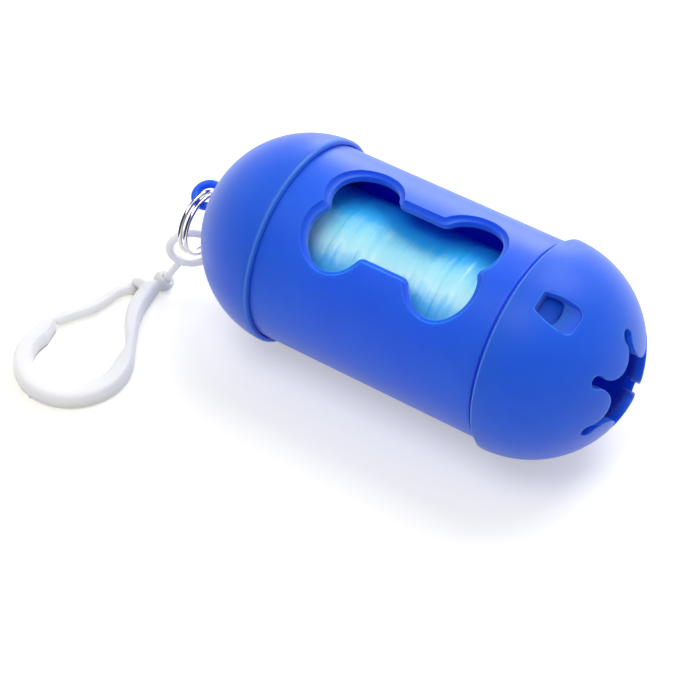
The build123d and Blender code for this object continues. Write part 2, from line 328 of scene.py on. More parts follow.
def faces_outward(bm):
    """Turns the faces of a closed shape outward."""
    bmesh.ops.recalc_face_normals(bm, faces=bm.faces)
    return bm


print("one unit of the outlines is", MM, "m")

# %% Outline helpers
def curve_points(points, leave, arrive, steps):
    """Points on a smooth curve through the given ones, with end directions."""
    knots = [Vector((p[0], p[1], 0)) for p in points]
    slopes = [(after - before) / 2 for before, after in zip(knots[:-2], knots[2:])]
    first = Vector((*leave, 0)) * (knots[1] - knots[0]).length
    last = Vector((*arrive, 0)) * (knots[-1] - knots[-2]).length
    slopes = [first] + slopes + [last]
    smooth = []
    for i in range(len(knots) - 1):
        reach = (knots[i + 1] - knots[i]).length / 3
        out_handle = knots[i] + slopes[i].normalized() * reach
        in_handle = knots[i + 1] - slopes[i + 1].normalized() * reach
        part = interpolate_bezier(knots[i], out_handle, in_handle, knots[i + 1], steps + 1)
        smooth += part[1:]
    return smooth


def draw(bm, start, strokes):
    """Draws lines, arcs and curves, each from where the last one ended."""
    return draw_on(bm, bm.verts.new((start[0], start[1], 0)), strokes)


def draw_on(bm, last, strokes):
    """Carries an outline on from a vertex, and returns its last vertex."""
    for stroke in strokes:
        kind = stroke[0]
        if kind == "arc":
            centre, degrees, steps = stroke[1:]
            turn = radians(degrees)
            made = bmesh.ops.spin(bm, geom=[last], cent=(*centre, 0), axis=z_axis, angle=turn,
                                  steps=steps)
            last = verts_of(made["geom_last"])[0]
        else:
            if kind == "line":
                stops = [Vector((*stroke[1], 0))]
            else:
                points, leave, arrive, steps = stroke[1:]
                stops = curve_points([last.co[:2]] + points, leave, arrive, steps)
            for stop in stops:
                last = bmesh.ops.extrude_vert_indiv(bm, verts=[last])["verts"][0]
                last.co = stop
    return last


def closed(bm):
    """Joins an outline's ends and welds its doubles."""
    welded(bm)
    ends = [v for v in bm.verts if len(v.link_edges) == 1]
    if ends:
        bm.edges.new(ends)
    return bm


def lathe(start, strokes, steps=160):
    """Turns an outline of (x, radius) round the X axis."""
    bm = bmesh.new()
    draw(bm, start, strokes)
    full_turn(closed(bm), x_axis, steps)
    welded(bm)
    return faces_outward(bm)


def filled(start, strokes):
    """A flat face inside an outline, facing up."""
    bm = bmesh.new()
    draw(bm, start, strokes)
    closed(bm)
    fill(bm, bm.edges[:])
    return bm


def quarter_steps(radius, steps):
    """Steps of a rounded rim: inward and along, from the wall to the flat."""
    angles = [pi / 2 * i / steps for i in range(steps + 1)]
    return [(radius * (cos(a) - cos(b)), radius * (sin(b) - sin(a)))
            for a, b in zip(angles[:-1], angles[1:])]


def thick(bm, thickness, rim, draft=0.0, steps=5, share=lambda corner: 1.0):
    """Makes a plate of a flat face at mid height: drafted walls and round rims."""
    face = bm.faces[:][0]
    facing = copysign(1, face.normal.z)
    least_lean = 0.5
    corners = [v.co.copy() for v in face.verts]
    earlier = corners[-1:] + corners[:-1]
    later = corners[1:] + corners[:1]
    inward = []
    for before, here, after in zip(earlier, corners, later):
        sides = [z_axis.cross(b - a).normalized() for a, b in ((before, here), (here, after))]
        middle = (sides[0] + sides[1]).normalized() * facing
        inward.append(middle / max(least_lean, middle.dot(sides[0] * facing)) * share(here))
    for reach, along in [(draft, thickness / 2 - rim)] + quarter_steps(rim, steps):
        bmesh.ops.inset_region(bm, faces=[face], thickness=0, depth=along, use_boundary=True)
        for v, way in zip(face.verts, inward):
            v.co += way * reach
    mirrored(bm, "Z")
    return faces_outward(bm)


washer = lathe((0, 1), [("line", (1, 1)), ("line", (1, 2)), ("line", (0, 2))], 8)
print("a test washer has", len(washer.faces), "faces")
washer.free()

# %% Cutting, joining and finishing
def work_object(bm):
    """A passing object that modifiers are tried on."""
    mesh = bpy.data.meshes.new("work")
    bm.to_mesh(mesh)
    bm.free()
    holder = bpy.data.objects.new("work", mesh)
    scene.collection.objects.link(holder)
    return holder


def with_modifiers(bm, wanted):
    """The mesh that a stack of modifiers makes of this one."""
    holder = work_object(bm)
    helpers = []
    for kind, settings in wanted:
        modifier = holder.modifiers.new(kind.lower(), kind)
        for name, setting in settings.items():
            if name == "object":
                helpers.append(setting)
            setattr(modifier, name, setting)
    graph = bpy.context.evaluated_depsgraph_get()
    mesh = bpy.data.meshes.new_from_object(holder.evaluated_get(graph))
    for old in [holder] + helpers:
        bpy.data.meshes.remove(old.data)
    result = bmesh.new()
    result.from_mesh(mesh)
    bpy.data.meshes.remove(mesh)
    return result


def combine(bm, operation, tools):
    """Cuts closed tools out of a mesh, or joins them to it."""
    cut = {"operation": operation, "solver": "EXACT"}
    return with_modifiers(bm, [("BOOLEAN", {**cut, "object": work_object(t)}) for t in tools])


def moulded(bm, voxel, passes):
    """Melts joined parts into one skin with softened corners."""
    skin = ("REMESH", {"mode": "VOXEL", "voxel_size": voxel, "use_smooth_shade": True})
    soften = ("SMOOTH", {"factor": 0.5, "iterations": passes})
    return with_modifiers(bm, [skin, soften])


def moved(bm, place):
    """Moves a whole mesh by a matrix."""
    bmesh.ops.transform(bm, matrix=place, verts=bm.verts)
    return bm


def joined(bm, *others):
    """Adds other meshes to this one, unwelded."""
    for other in others:
        mesh = bpy.data.meshes.new("part")
        other.to_mesh(mesh)
        other.free()
        bm.from_mesh(mesh)
        bpy.data.meshes.remove(mesh)
    return bm


def box(size, place=Matrix()):
    """A block of the given size, moved to its place."""
    bm = bmesh.new()
    bmesh.ops.create_cube(bm, size=1.0)
    return moved(bm, place @ Matrix.Diagonal((*size, 1)))


def sphere(radius, around, rings):
    """A ball about the origin."""
    bm = bmesh.new()
    bmesh.ops.create_uvsphere(bm, u_segments=around, v_segments=rings, radius=radius)
    return bm


def near_rim(bm, low, high, radius):
    """The faces between two places on X that lie outside a radius."""
    middles = [(face, face.calc_center_median()) for face in bm.faces]
    return [face for face, at in middles if low < at.x < high and hypot(*at.yz) > radius]


def mark_painted_highlight(bm, faces):
    """Marks faces that get a painted highlight in the plastic's material."""
    bm.faces.index_update()
    marked = {face.index for face in faces}
    layer = bm.faces.layers.float.new("worn")
    for face in bm.faces:
        face[layer] = 1.0 if face.index in marked else 0.0


materials = {}


def finish_piece(name, bm, place, body, slot, node, corner=38):
    """Makes a mesh in millimetres a piece in metres, on its body. Edges over corner stay sharp."""
    moved(bm, Matrix.Scale(MM, 4) @ place)
    for face in bm.faces:
        face.smooth = True
    mesh = bpy.data.meshes.new(name)
    bm.to_mesh(mesh)
    bm.free()
    mesh.set_sharp_from_angle(angle=radians(corner))
    mesh.materials.append(materials[slot])
    piece = bpy.data.objects.new(name, mesh)
    scene.collection.objects.link(piece)
    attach(piece, body)
    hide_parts(node)
    low, high = [[round(end(v.co[i] for v in mesh.vertices) / MM, 2) for i in range(3)]
                 for end in (min, max)]
    print(name, "has", len(mesh.polygons), "faces, from", low, "to", high, "mm")


print("ready")

# %% [markdown]
# ## Where the parts lie
# The capsule is drawn along X about its own axis, with the window straight up. It lies on
# its two caps, rolled a little toward the camera. The ring, the eye and the hook each hang
# from the last, so their places are worked out one from another, as in the CAD model.

# %% Places of the parts
cap_r = 20.0
dome_x = 23.5
lie_turn = radians(18.0)
lie = shift((0, 0, cap_r)) @ turned_on("X", lie_turn)

eyelet_r = 2.5
eyelet_bead = 0.8
eyelet_x = -(dome_x + cap_r + 3.3)
ring_r = 6.0
wire_r = 0.4
turn_pitch = 1.26
ring_drop = ring_r - wire_r - eyelet_bead - 0.3
sway = radians(1.6)
bead_y = -eyelet_r * cos(lie_turn)
bead_z = cap_r - eyelet_r * sin(lie_turn)
ring_at = Vector((eyelet_x, bead_y + ring_drop * sin(sway),
                  bead_z - ring_drop * cos(sway)))

collar_r = 2.05
ball_at = Vector((ring_at.x - 5.2, ring_at.y - 6.25, collar_r))
eye_reach = ring_at + Vector((-0.49, -2.925, -4.447)) - ball_at
hook_turn = radians(-1.1)
hook_place = shift(ball_at) @ turned_on("Z", hook_turn)
print("ring centre", [round(v, 2) for v in ring_at], "ball centre", [round(v, 2) for v in ball_at])

# %% [markdown]
# ## Blue plastic
# The capsule is moulded in one satin blue plastic. The mould was finely blasted, so the
# gloss is broken up by a grain far finer than a millimetre, with a few pale specks of dust
# and a slow drift of the gloss where hands have polished it. Thin edges and rim crests carry
# a painted highlight, and the faces that carry it are marked with an attribute. A pattern's
# scale says about how many waves of it lie in a metre, and a bump's depth is in metres.

# %% Material of the capsule
deep_blue = (0.002, 0.108, 0.90, 1.0)
pale_blue = (0.008, 0.165, 0.97, 1.0)
# The paler blue of the painted highlight on edges and rim crests.
highlight_blue = (0.06, 0.22, 0.97, 1.0)
blue_drift = 90.0
blue_ripple = 420.0
blue_specks = 1500.0
blue_grain = 2600.0
blue_roughness = 0.36
blue_depth = 0.000012


def blue_material():
    """Satin plastic with fine grain, faint specks, an uneven gloss and painted highlights on marked
    faces.
    """
    material, tree = new_material("satin_blue")
    place = stretched(tree, even)
    drift = between(tree, cloud(tree, place, blue_drift, 2.0), 0.3, 0.7)
    grain = cloud(tree, place, blue_grain, 2.0, 0.6)
    specks = between(tree, cloud(tree, place, blue_specks, 1.0), 0.70, 0.78)
    moulded_tone = blend_colours(tree, drift * 0.35 + specks * 0.25, deep_blue, pale_blue)
    # Marked faces are blended to the painted highlight colour.
    worn = tree.add("ShaderNodeAttribute", {"attribute_name": "worn"}, output=2)
    height = grain + cloud(tree, place, blue_ripple, 2.0) * 0.8
    surface(tree, {
        "Base Color": blend_colours(tree, worn, moulded_tone, highlight_blue),
        "Roughness": blue_roughness + drift * 0.07 + specks * 0.10,
        "Normal": bump(tree, height, blue_depth),
        "Specular IOR Level": 0.26,
        "Sheen Weight": 0.22,
        "Sheen Roughness": 0.50,
        "Subsurface Weight": 0.6,
        "Subsurface Radius": (0.1, 0.5, 1.0),
        "Subsurface Scale": 0.005})
    return material


materials["blue_plastic"] = blue_material()
print("blue plastic has", len(materials["blue_plastic"].node_tree.nodes), "nodes")

# %% [markdown]
# ## Ring cap
# A moulded dome is a turned shape, so its wall is drawn as one outline and spun. The rim is
# softly rounded here, and inside it a shallow recess takes the barrel's end. The eyelet is a
# bead turned round its own hole, joined to the dome by a thin web.

# %% Dome outline
rim_x = 23.4
recess_r = 19.1
recess_x = 24.9
bore_r = 17.71
inside_r = 18.3
dome_steps = 44
inside_steps = 30


def dome(rim_strokes, shoulder):
    """A cap toward +X: rim strokes, then the dome, its inside, the bore and the recess."""
    start_angle = math.degrees(atan2(shoulder[1], shoulder[0] - dome_x))
    bore_angle = math.degrees(asin(bore_r / inside_r))
    bore_end = (dome_x + inside_r * cos(radians(bore_angle)), bore_r)
    strokes = rim_strokes + [("arc", (dome_x, 0), -start_angle, dome_steps)]
    strokes += [("line", (dome_x + inside_r, 0)), ("arc", (dome_x, 0), bore_angle, inside_steps)]
    strokes += [("line", bore_end), ("line", (recess_x, bore_r)), ("line", (recess_x, recess_r))]
    return lathe((rim_x, recess_r), strokes)


# %% Ring cap with its eyelet
crest = (24.0, 19.965)
soft_rim = [("line", (rim_x, 19.36)),
            ("curve", [(23.52, 19.66), (23.86, 19.90), crest], (0, 1), (0.97, 0.24), 4)]
ring_dome = moved(dome(soft_rim, crest), turned_on("Z", pi))

eyelet = bmesh.new()
bmesh.ops.create_circle(eyelet, segments=28, radius=eyelet_bead)
moved(eyelet, shift((eyelet_r, 0, 0)) @ turned_on("X", pi / 2))
full_turn(eyelet, z_axis, 72)
moved(faces_outward(eyelet), shift((eyelet_x, 0, 0)))

web_wide = 4.6
web_t = 1.3
web_round = 0.6
in_dome = -(dome_x + cap_r - 0.85)
in_bead = eyelet_x + eyelet_r - 0.3
web_middle = shift(((in_dome + in_bead) / 2, 0, 0))
web = box((abs(in_dome - in_bead), web_wide, web_t), web_middle)
long_edges = [e for e in web.edges if abs(e.verts[0].co.x - e.verts[1].co.x) > 0.1]
rounded(web, long_edges, web_round, 5)
ring_cap = combine(ring_dome, "UNION", [web, eyelet])
# The rim's crest gets a painted highlight.
mark_painted_highlight(ring_cap, near_rim(ring_cap, -24.02, -23.62, 19.6))
finish_piece("ring_cap_shell", ring_cap, lie, "ring_cap", "blue_plastic", "ring_cap")

# %% [markdown]
# ## Slotted cap
# The other cap carries the bag outlet: six slots that meet in a star, with round petals
# between them. Real cuts are made with Boolean tools, a prism for the star and a block for
# each snap pocket. Its rim shows a thin ridge of flash, where the mould's halves met, so
# the outline of the rim rises to a fine crest.

# %% Star cutter
slot_count = 6
slot_half = 0.85
slot_end = 1.25
slot_reach = 11.2
petal_tip = 5.9
sector = tau / slot_count
petal_r = petal_tip - slot_half / sin(sector / 2)
petal_out = petal_tip + petal_r
petal_at = (petal_out * cos(sector / 2), petal_out * sin(sector / 2))
drop_at = (slot_reach - slot_end, 0)
drop_half = radians(117)
drop_start = (drop_at[0] + slot_end * cos(drop_half), -slot_end * sin(drop_half))
neck = (petal_at[0], slot_half)
flare = (sin(drop_half), cos(drop_half))


def prism(outline, bottom, height):
    """A flat face made a prism from one height to another."""
    made = bmesh.ops.extrude_face_region(outline, geom=outline.faces[:])["geom"]
    bmesh.ops.translate(outline, vec=(0, 0, height), verts=verts_of(made))
    return moved(faces_outward(outline), shift((0, 0, bottom)))


star = bmesh.new()
for i in range(slot_count):
    old = set(star.verts)
    strokes = [("curve", [drop_start], (1, 0), flare, 4),
               ("arc", drop_at, math.degrees(2 * drop_half), 20),
               ("curve", [neck], (-flare[0], flare[1]), (-1, 0), 4),
               ("arc", petal_at, -120, 22)]
    draw(star, (neck[0], -neck[1]), strokes)
    fresh = [v for v in star.verts if v not in old]
    bmesh.ops.rotate(star, verts=fresh, matrix=Matrix.Rotation(sector * i, 3, "Z"))
closed(star)
bmesh.ops.contextual_create(star, geom=star.edges[:])
print("star outline has", len(star.verts), "corners,", len(star.faces), "face")
star_from = 30
star_deep = 20
upright = turned_on("Y", pi / 2) @ turned_on("Z", sector / 2)
moved(prism(star, star_from, star_deep), upright)

# %% Snap pocket cutters
pocket_floor = 16.4
pocket_deep = 10
pocket_half = 2.8
pocket_fillet = 0.45
hole_half = 2.0
hole_end = 31.6
pocket_slope = 0.2
pocket_turn = radians(1.9)


def pocket(side):
    """A channel with a sloped floor and round ends, which opens through the dome."""
    strokes = [("curve", [(30.6, -2.6), (33.3, -pocket_half)], (0.97, -0.24), (1, 0), 6),
               ("arc", (33.3, -1.2), 90, 8), ("line", (34.9, 1.2)), ("arc", (33.3, 1.2), 90, 8),
               ("curve", [(30.6, 2.6), (28.4, hole_half)], (-1, 0), (-0.97, -0.24), 6),
               ("arc", (28.4, 1.5), 90, 6), ("line", (27.9, -1.5)), ("arc", (28.4, -1.5), 90, 6)]
    block = prism(filled((28.4, -hole_half), strokes), pocket_floor, pocket_deep)
    for v in block.verts:
        if v.co.z < pocket_floor + 1:
            v.co.z -= pocket_slope * (v.co.x - hole_end)
    floor_edges = [e for e in block.edges if all(v.co.z < pocket_floor + 1.5 for v in e.verts)]
    rounded(block, floor_edges, pocket_fillet, 4)
    return moved(block, turned_on("X", pocket_turn + (0 if side > 0 else pi)))


# %% Slotted cap
flash = (23.86, 19.985)
cut_fillet = 0.13
cut_corner = radians(35)
flash_rim = [("line", (rim_x, 19.45)),
             ("curve", [(23.5, 19.68), (23.78, 19.84)], (0, 1), (0.9, 0.43), 4),
             ("line", (23.81, 19.93)), ("line", flash)]
slotted = combine(dome(flash_rim, flash), "DIFFERENCE", [star, pocket(1), pocket(-1)])
welded(slotted, 0.02)
centre = Vector((dome_x, 0, 0))
cut_edges = [e for e in slotted.edges if e.calc_face_angle(0) > cut_corner
             and e.verts[0].co.x > 27
             and all((v.co - centre).length > cap_r - 0.1 for v in e.verts)]
softened = rounded(slotted, cut_edges, cut_fillet, 2)["faces"]
# The edges round the cuts and the rim's crest get a painted highlight.
mark_painted_highlight(slotted, softened + near_rim(slotted, 23.4, 23.9, 19.7))
print("edges softened round the cuts:", len(cut_edges))
finish_piece("slotted_cap_shell", slotted, lie, "slotted_cap", "blue_plastic", "slotted_cap")

# %% [markdown]
# ## Barrel and its bone window
# The window is a bone cut through a curved wall, with a broad rounded lip. Cutting it with a
# Boolean would leave a ragged edge for the lip, so the wall is made flat, like paper: the
# bone's outline is inset in small steps that follow a quarter round, and bridged to a plain
# rectangle. Then the paper is rolled up, and its far edges are welded under the barrel.

# %% Bone outline
barrel_r = 18.83
inner_r = 16.63
neck_r = 17.63
barrel_end = 24.8
wall_end = 22.5
neck_end = 27.8
lobe_at = (10.6, 4.1)
lobe_r = 6.0
band_w = 6.0
lip_r = 1.1
lobe_steps = 46
band_steps = 14
corner_fillet = 0.22


def bone(grown):
    """Bone outline, its lobes and waist grown by a margin, as a flat face."""
    radius = lobe_r + grown
    waist = band_w + grown
    notch = lobe_at[0] + sqrt(radius ** 2 - lobe_at[1] ** 2)
    corner = lobe_at[0] - sqrt(radius ** 2 - (waist - lobe_at[1]) ** 2)
    start = atan2(-lobe_at[1], notch - lobe_at[0])
    stop = atan2(waist - lobe_at[1], corner - lobe_at[0])
    sweep = math.degrees(stop - start)
    strokes = [("arc", lobe_at, sweep, lobe_steps)]
    stride = 2 * corner / band_steps
    strokes += [("line", (corner - i * stride, waist)) for i in range(1, band_steps)]
    strokes += [("line", (-corner, waist)), ("arc", (-lobe_at[0], lobe_at[1]), sweep, lobe_steps)]
    bm = bmesh.new()
    draw(bm, (notch, 0), strokes)
    mirrored(bm, "Y")
    closed(bm)
    fill(bm, bm.edges[:])
    sharp = [v for v in bm.verts if v.calc_edge_angle(0) > radians(20)]
    rounded(bm, sharp, corner_fillet, 6, "VERTICES")
    return bm


def rim_loop(bm):
    """Edges that belong to one face only."""
    return [e for e in bm.edges if e.is_boundary]


long_share = 0.36
framed_angle = radians(52)
far_steps = 32


def paper(bm, hole, radius, half_length, rows):
    """Bridges a window's outline to a rectangle on paper, and adds the paper's far ends."""
    for v in bm.verts:
        v.co.y = radius * asin(v.co.y / radius)
    count = len(hole)
    long_cuts = round(count * long_share)
    short_cuts = count // 2 - long_cuts
    half_width = radius * framed_angle
    corners = [Vector((sx * half_length, sy * half_width))
               for sx, sy in ((1, -1), (1, 1), (-1, 1), (-1, -1))]
    strokes = []
    for i, cuts in enumerate((short_cuts, long_cuts, short_cuts, long_cuts)):
        here, there = corners[i], corners[(i + 1) % 4]
        strokes += [("line", tuple(here.lerp(there, k / cuts))) for k in range(1, cuts + 1)]
    old = set(bm.edges)
    first = bm.verts.new((*corners[0], 0))
    last = draw_on(bm, first, strokes[:-1])
    bm.edges.new((last, first))
    frame_edges = [e for e in bm.edges if e not in old]
    bridge = bmesh.ops.bridge_loops(bm, edges=hole + frame_edges)
    bmesh.ops.subdivide_edges(bm, edges=bridge["edges"], cuts=rows, use_grid_fill=True)
    for side in (-1, 1):
        edge = [e for e in rim_loop(bm) if all(v.co.y * side > half_width - 0.01 for v in e.verts)]
        stride = (pi * radius - half_width) / far_steps
        for i in range(far_steps):
            made = bmesh.ops.extrude_edge_only(bm, edges=edge)["geom"]
            bmesh.ops.translate(bm, vec=(0, side * stride, 0), verts=verts_of(made))
            edge = edges_of(made)


def rolled(bm, radius):
    """Rolls the paper round the X axis; a point's Z is its depth under the surface."""
    for v in bm.verts:
        angle = v.co.y / radius
        v.co.y = radius * sin(angle)
        v.co.z += radius * cos(angle)
    welded(bm, 2 * weld)


# %% Outer wall with the rounded lip
def window_loop(bm):
    """The open edges round the window."""
    near = (22, 14)
    return [e for e in rim_loop(bm)
            if all(abs(v.co.x) < near[0] and abs(v.co.y) < near[1] for v in e.verts)]


outer = bone(lip_r)
bmesh.ops.delete(outer, geom=outer.faces[:], context="FACES_ONLY")
paper(outer, outer.edges[:], barrel_r, wall_end, 9)
hole_face = fill(outer, window_loop(outer))
for along, inward in reversed(quarter_steps(lip_r, 7)):
    bmesh.ops.inset_region(outer, faces=[hole_face], thickness=inward, depth=-along,
                           use_even_offset=True)
bmesh.ops.delete(outer, geom=[hole_face], context="FACES")
print("outer wall has", len(outer.faces), "faces, window edges:", len(window_loop(outer)))
rolled(outer, barrel_r)

# %% Inner wall, the neck and the window's cut faces
inner = bone(lip_r)
hole_face = inner.faces[:][0]
bmesh.ops.inset_region(inner, faces=[hole_face], thickness=lip_r, use_boundary=True,
                       use_even_offset=True)
bmesh.ops.delete(inner, geom=[f for f in inner.faces if f != hole_face], context="FACES")
bmesh.ops.delete(inner, geom=[hole_face], context="FACES_ONLY")
paper(inner, inner.edges[:], inner_r, neck_end, 3)
rolled(inner, inner_r)
barrel = joined(outer, inner)
open_edges = rim_loop(barrel)
window_edges = [e for e in open_edges if all(abs(v.co.x) < 20 for v in e.verts)]
bmesh.ops.bridge_loops(barrel, edges=window_edges)
groove_r = barrel_r - 0.6
seam = [(22.58, barrel_r - 0.03), (22.62, barrel_r - 0.12), (22.64, groove_r), (23.7, groove_r),
        (23.7, barrel_r)]
shoulder = [(barrel_end, barrel_r), (barrel_end, neck_r), (neck_end, neck_r)]


def open_at(bm, x):
    """The open edges at one place on X."""
    return [e for e in rim_loop(bm) if all(abs(v.co.x - x) < 0.01 for v in e.verts)]


for side in (-1, 1):
    rim = open_at(barrel, side * wall_end)
    for x, radius in (seam if side > 0 else []) + shoulder:
        made = bmesh.ops.extrude_edge_only(barrel, edges=rim)["geom"]
        for v in verts_of(made):
            across = Vector((0, v.co.y, v.co.z)).normalized() * radius
            v.co = (side * x, across.y, across.z)
        rim = edges_of(made)
    bmesh.ops.bridge_loops(barrel, edges=open_at(barrel, side * neck_end))
faces_outward(barrel)
print("barrel's open edges:", len(rim_loop(barrel)), "faces:", len(barrel.faces))

# %% [markdown]
# Two springy tongues on the neck snap into the slotted cap's pockets. Each is a plain strip
# with a rounded tip that dips inward, so the hole in the pocket stays dark above it.

# %% Snap tongues
tongue_size = (4.9, 4.4, 0.75)
tongue_tip = 0.25
tongue_dip = radians(25)
tongue_at = (28.6, 0, 15.9)
for side in (-1, 1):
    tongue = box(tongue_size)
    rounded(tongue, [e for e in tongue.edges if all(v.co.x > 2 for v in e.verts)], tongue_tip, 4)
    moved(tongue, shift(tongue_at) @ turned_on("Y", tongue_dip))
    moved(tongue, turned_on("X", 0 if side > 0 else pi))
    barrel = joined(barrel, tongue)
finish_piece("barrel_shell", barrel, lie, "barrel", "blue_plastic", "barrel")

# %% [markdown]
# ## Roll of bags
# The bags are thin tubes of film, folded lengthwise and wound tight, so their folds show as
# fine creases that run round the roll, with glossy, slightly wavy film between. The roll is
# a turned shape whose radius steps at each fold, and its ends show the edges of the turns.

# %% Film material
film_streaks = 2200.0
film_bands = 300.0
film_mottle = 240.0
film_depth = 0.00010
# Painted light on the film, set by place on Y: painted shade under the window's far edge, a painted
# highlight toward the near side, and painted shade again under the near edge.
far_shade_y = 0.0055
near_shade_y = -0.0112
film_light_and_shade = [
    (0.0, (0.006, 0.30, 0.92, 1.0)), (0.42, (0.025, 0.52, 1.0, 1.0)),
    (0.64, (0.30, 0.84, 1.0, 1.0)), (0.84, (0.50, 0.95, 1.0, 1.0)),
    (1.0, (0.10, 0.62, 1.0, 1.0))]


def film_material():
    """Bright blue film, faintly streaked round the roll, with painted shade and a painted highlight
    set by place across the roll.
    """
    material, tree = new_material("cyan_film")
    place = stretched(tree, even)
    round_roll = stretched(tree, (1.0, 0.05, 0.05))
    fine = cloud(tree, round_roll, film_streaks, 3.0, 0.6)
    broad = cloud(tree, round_roll, film_bands, 3.0, 0.6)
    mottle = cloud(tree, place, film_mottle, 4.0, 0.65)
    streak = between(tree, fine * 0.25 + broad * 0.35 + mottle * 0.40, 0.36, 0.64)
    along_y = tree.add("ShaderNodeSeparateXYZ", values={0: place}, output=1)
    # Painted light: 0 at the far painted shade, 1 at the near painted shade, with the painted
    # highlight between.
    painted_light = between(tree, along_y * -1.0 + streak * 0.003, -far_shade_y, -near_shade_y)
    height = fine * 0.15 + broad * 0.6 + mottle * 0.8
    surface(tree, {
        "Base Color": tree.add("ShaderNodeValToRGB", {"stops": film_light_and_shade}, {"Fac": painted_light}),
        "Roughness": 0.36 - streak * 0.06 + mottle * 0.06,
        "Normal": bump(tree, height, film_depth),
        "Specular IOR Level": 1.0,
        "Subsurface Weight": 0.25,
        "Subsurface Radius": (0.5, 0.8, 1.0),
        "Subsurface Scale": 0.004})
    return material


materials["bag_film"] = film_material()
print("materials:", ", ".join(materials))

# %% Roll
roll_r = 13.98
roll_half = 30.0
roll_z = 18.07
core_r = 6.0
# Each crease: its place on X, how far it steps up or down, and how much it leans
creases = [(-24.5, 0.10, 0.3), (-19.0, -0.12, -0.2), (-14.0, 0.16, 0.1), (-5.5, -0.12, 0.3),
           (3.2, 0.08, -0.4), (9.0, 0.15, -0.8), (10.8, -0.10, 0.15), (16.5, 0.10, 0.3),
           (22.5, -0.12, 0.2)]
crease_width = 0.10
crease_fade = 22.0


def film_radius(x, angle):
    """Radius of the wound film: steps at the folds and a slow waviness."""
    height = 0.0
    for place, step, lean in creases:
        off = (x - place - lean * sin(angle)) / crease_width
        height += step * 0.5 * (tanh(off) - tanh(off / crease_fade))
    wave = noise.noise(Vector((x * 0.22, cos(angle) * 2.0, sin(angle) * 2.0)))
    ripple_at = Vector((x * 1.9, cos(angle) * 1.2 + 7.0, sin(angle) * 1.2))
    ripple = noise.noise(ripple_at)
    return roll_r + height + 0.07 * wave + 0.035 * ripple


film_steps = 220
length_steps = 120
end_rings = 14
end_round_x = roll_half - 0.35
end_round_r = roll_r - 0.47
film_bore = core_r + 0.06
strokes = [("line", (roll_half * i / length_steps, roll_r)) for i in range(1, length_steps - 1)]
strokes += [("line", (end_round_x, roll_r - 0.12)), ("arc", (end_round_x, end_round_r), -90, 4)]
for i in range(1, end_rings):
    ring_of_turns = end_round_r - (roll_r - 6.6) * i / end_rings
    dish = min(0.75, 0.12 * i)
    strokes.append(("line", (roll_half - dish + (0.06 if i % 2 else -0.06), ring_of_turns)))
strokes += [("line", (roll_half - 0.8, film_bore)), ("line", (0, film_bore))]
roll = bmesh.new()
draw(roll, (0, roll_r), strokes)
mirrored(roll, "X")
full_turn(roll, x_axis, film_steps)
welded(roll)
faces_outward(roll)
for v in roll.verts:
    radius = hypot(v.co.y, v.co.z)
    if radius > roll_r - 0.3:
        angle = atan2(v.co.z, v.co.y)
        swell = film_radius(v.co.x, angle) / roll_r
        v.co.y *= swell
        v.co.z *= swell
roll_place = shift((0, 0, roll_z))
finish_piece("film_roll", roll, roll_place, "roll", "bag_film", "bag_roll", 60)

# %% [markdown]
# ## Card core
# The film is wound on a grey-brown card tube. Its ends are cut and slightly rounded by
# handling, and the card has a fibrous, matt surface. An outline, spun round, is all it takes.

# %% Core
card_dark = (0.30, 0.21, 0.13, 1.0)
card_pale = (0.56, 0.45, 0.32, 1.0)
card_depth = 0.00008


def card_material():
    """Matt card, with fibres drawn out along the tube and a slow blotch."""
    material, tree = new_material("core_card")
    fibres = cloud(tree, stretched(tree, (0.25, 1.0, 1.0), (0.5, 0.0, 0.0)), 1800.0, 4.0, 0.7)
    blotch = cloud(tree, stretched(tree, even), 300.0, 3.0, 0.6)
    amount = between(tree, fibres * 0.6 + blotch * 0.4, 0.35, 0.65)
    surface(tree, {
        "Base Color": blend_colours(tree, amount, card_dark, card_pale),
        "Roughness": amount * 0.15 + 0.75,
        "Normal": bump(tree, fibres, card_depth)})
    return material


materials["core_card"] = card_material()
core_in = core_r - 0.9
core_end = 30.0
core_flat = 29.8
round_in = core_in + 0.2
round_out = core_r - 0.2
core_strokes = [
    ("line", (core_flat, core_in)), ("arc", (core_flat, round_in), 90, 3),
    ("line", (core_end, round_out)), ("arc", (core_flat, round_out), 90, 3),
    ("line", (-core_flat, core_r)), ("arc", (-core_flat, round_out), 90, 3),
    ("line", (-core_end, round_in)), ("arc", (-core_flat, round_in), 90, 3)]
core = lathe((-core_flat, core_in), core_strokes, 96)
finish_piece("card_core", core, roll_place, "roll", "core_card", "roll_core")

# %% [markdown]
# ## Split ring
# A split ring is one wire wound twice round. A wire's section is spun in short turns, and
# while it passes the crossing, each turn also slides it sideways, slowly at both ends.

# %% Steel
bright_steel = (0.80, 0.79, 0.78, 1.0)
# The dark colour of the painted reflections of a dark room.
painted_reflection_dark = (0.055, 0.046, 0.046, 1.0)
steel_depth = 0.000006


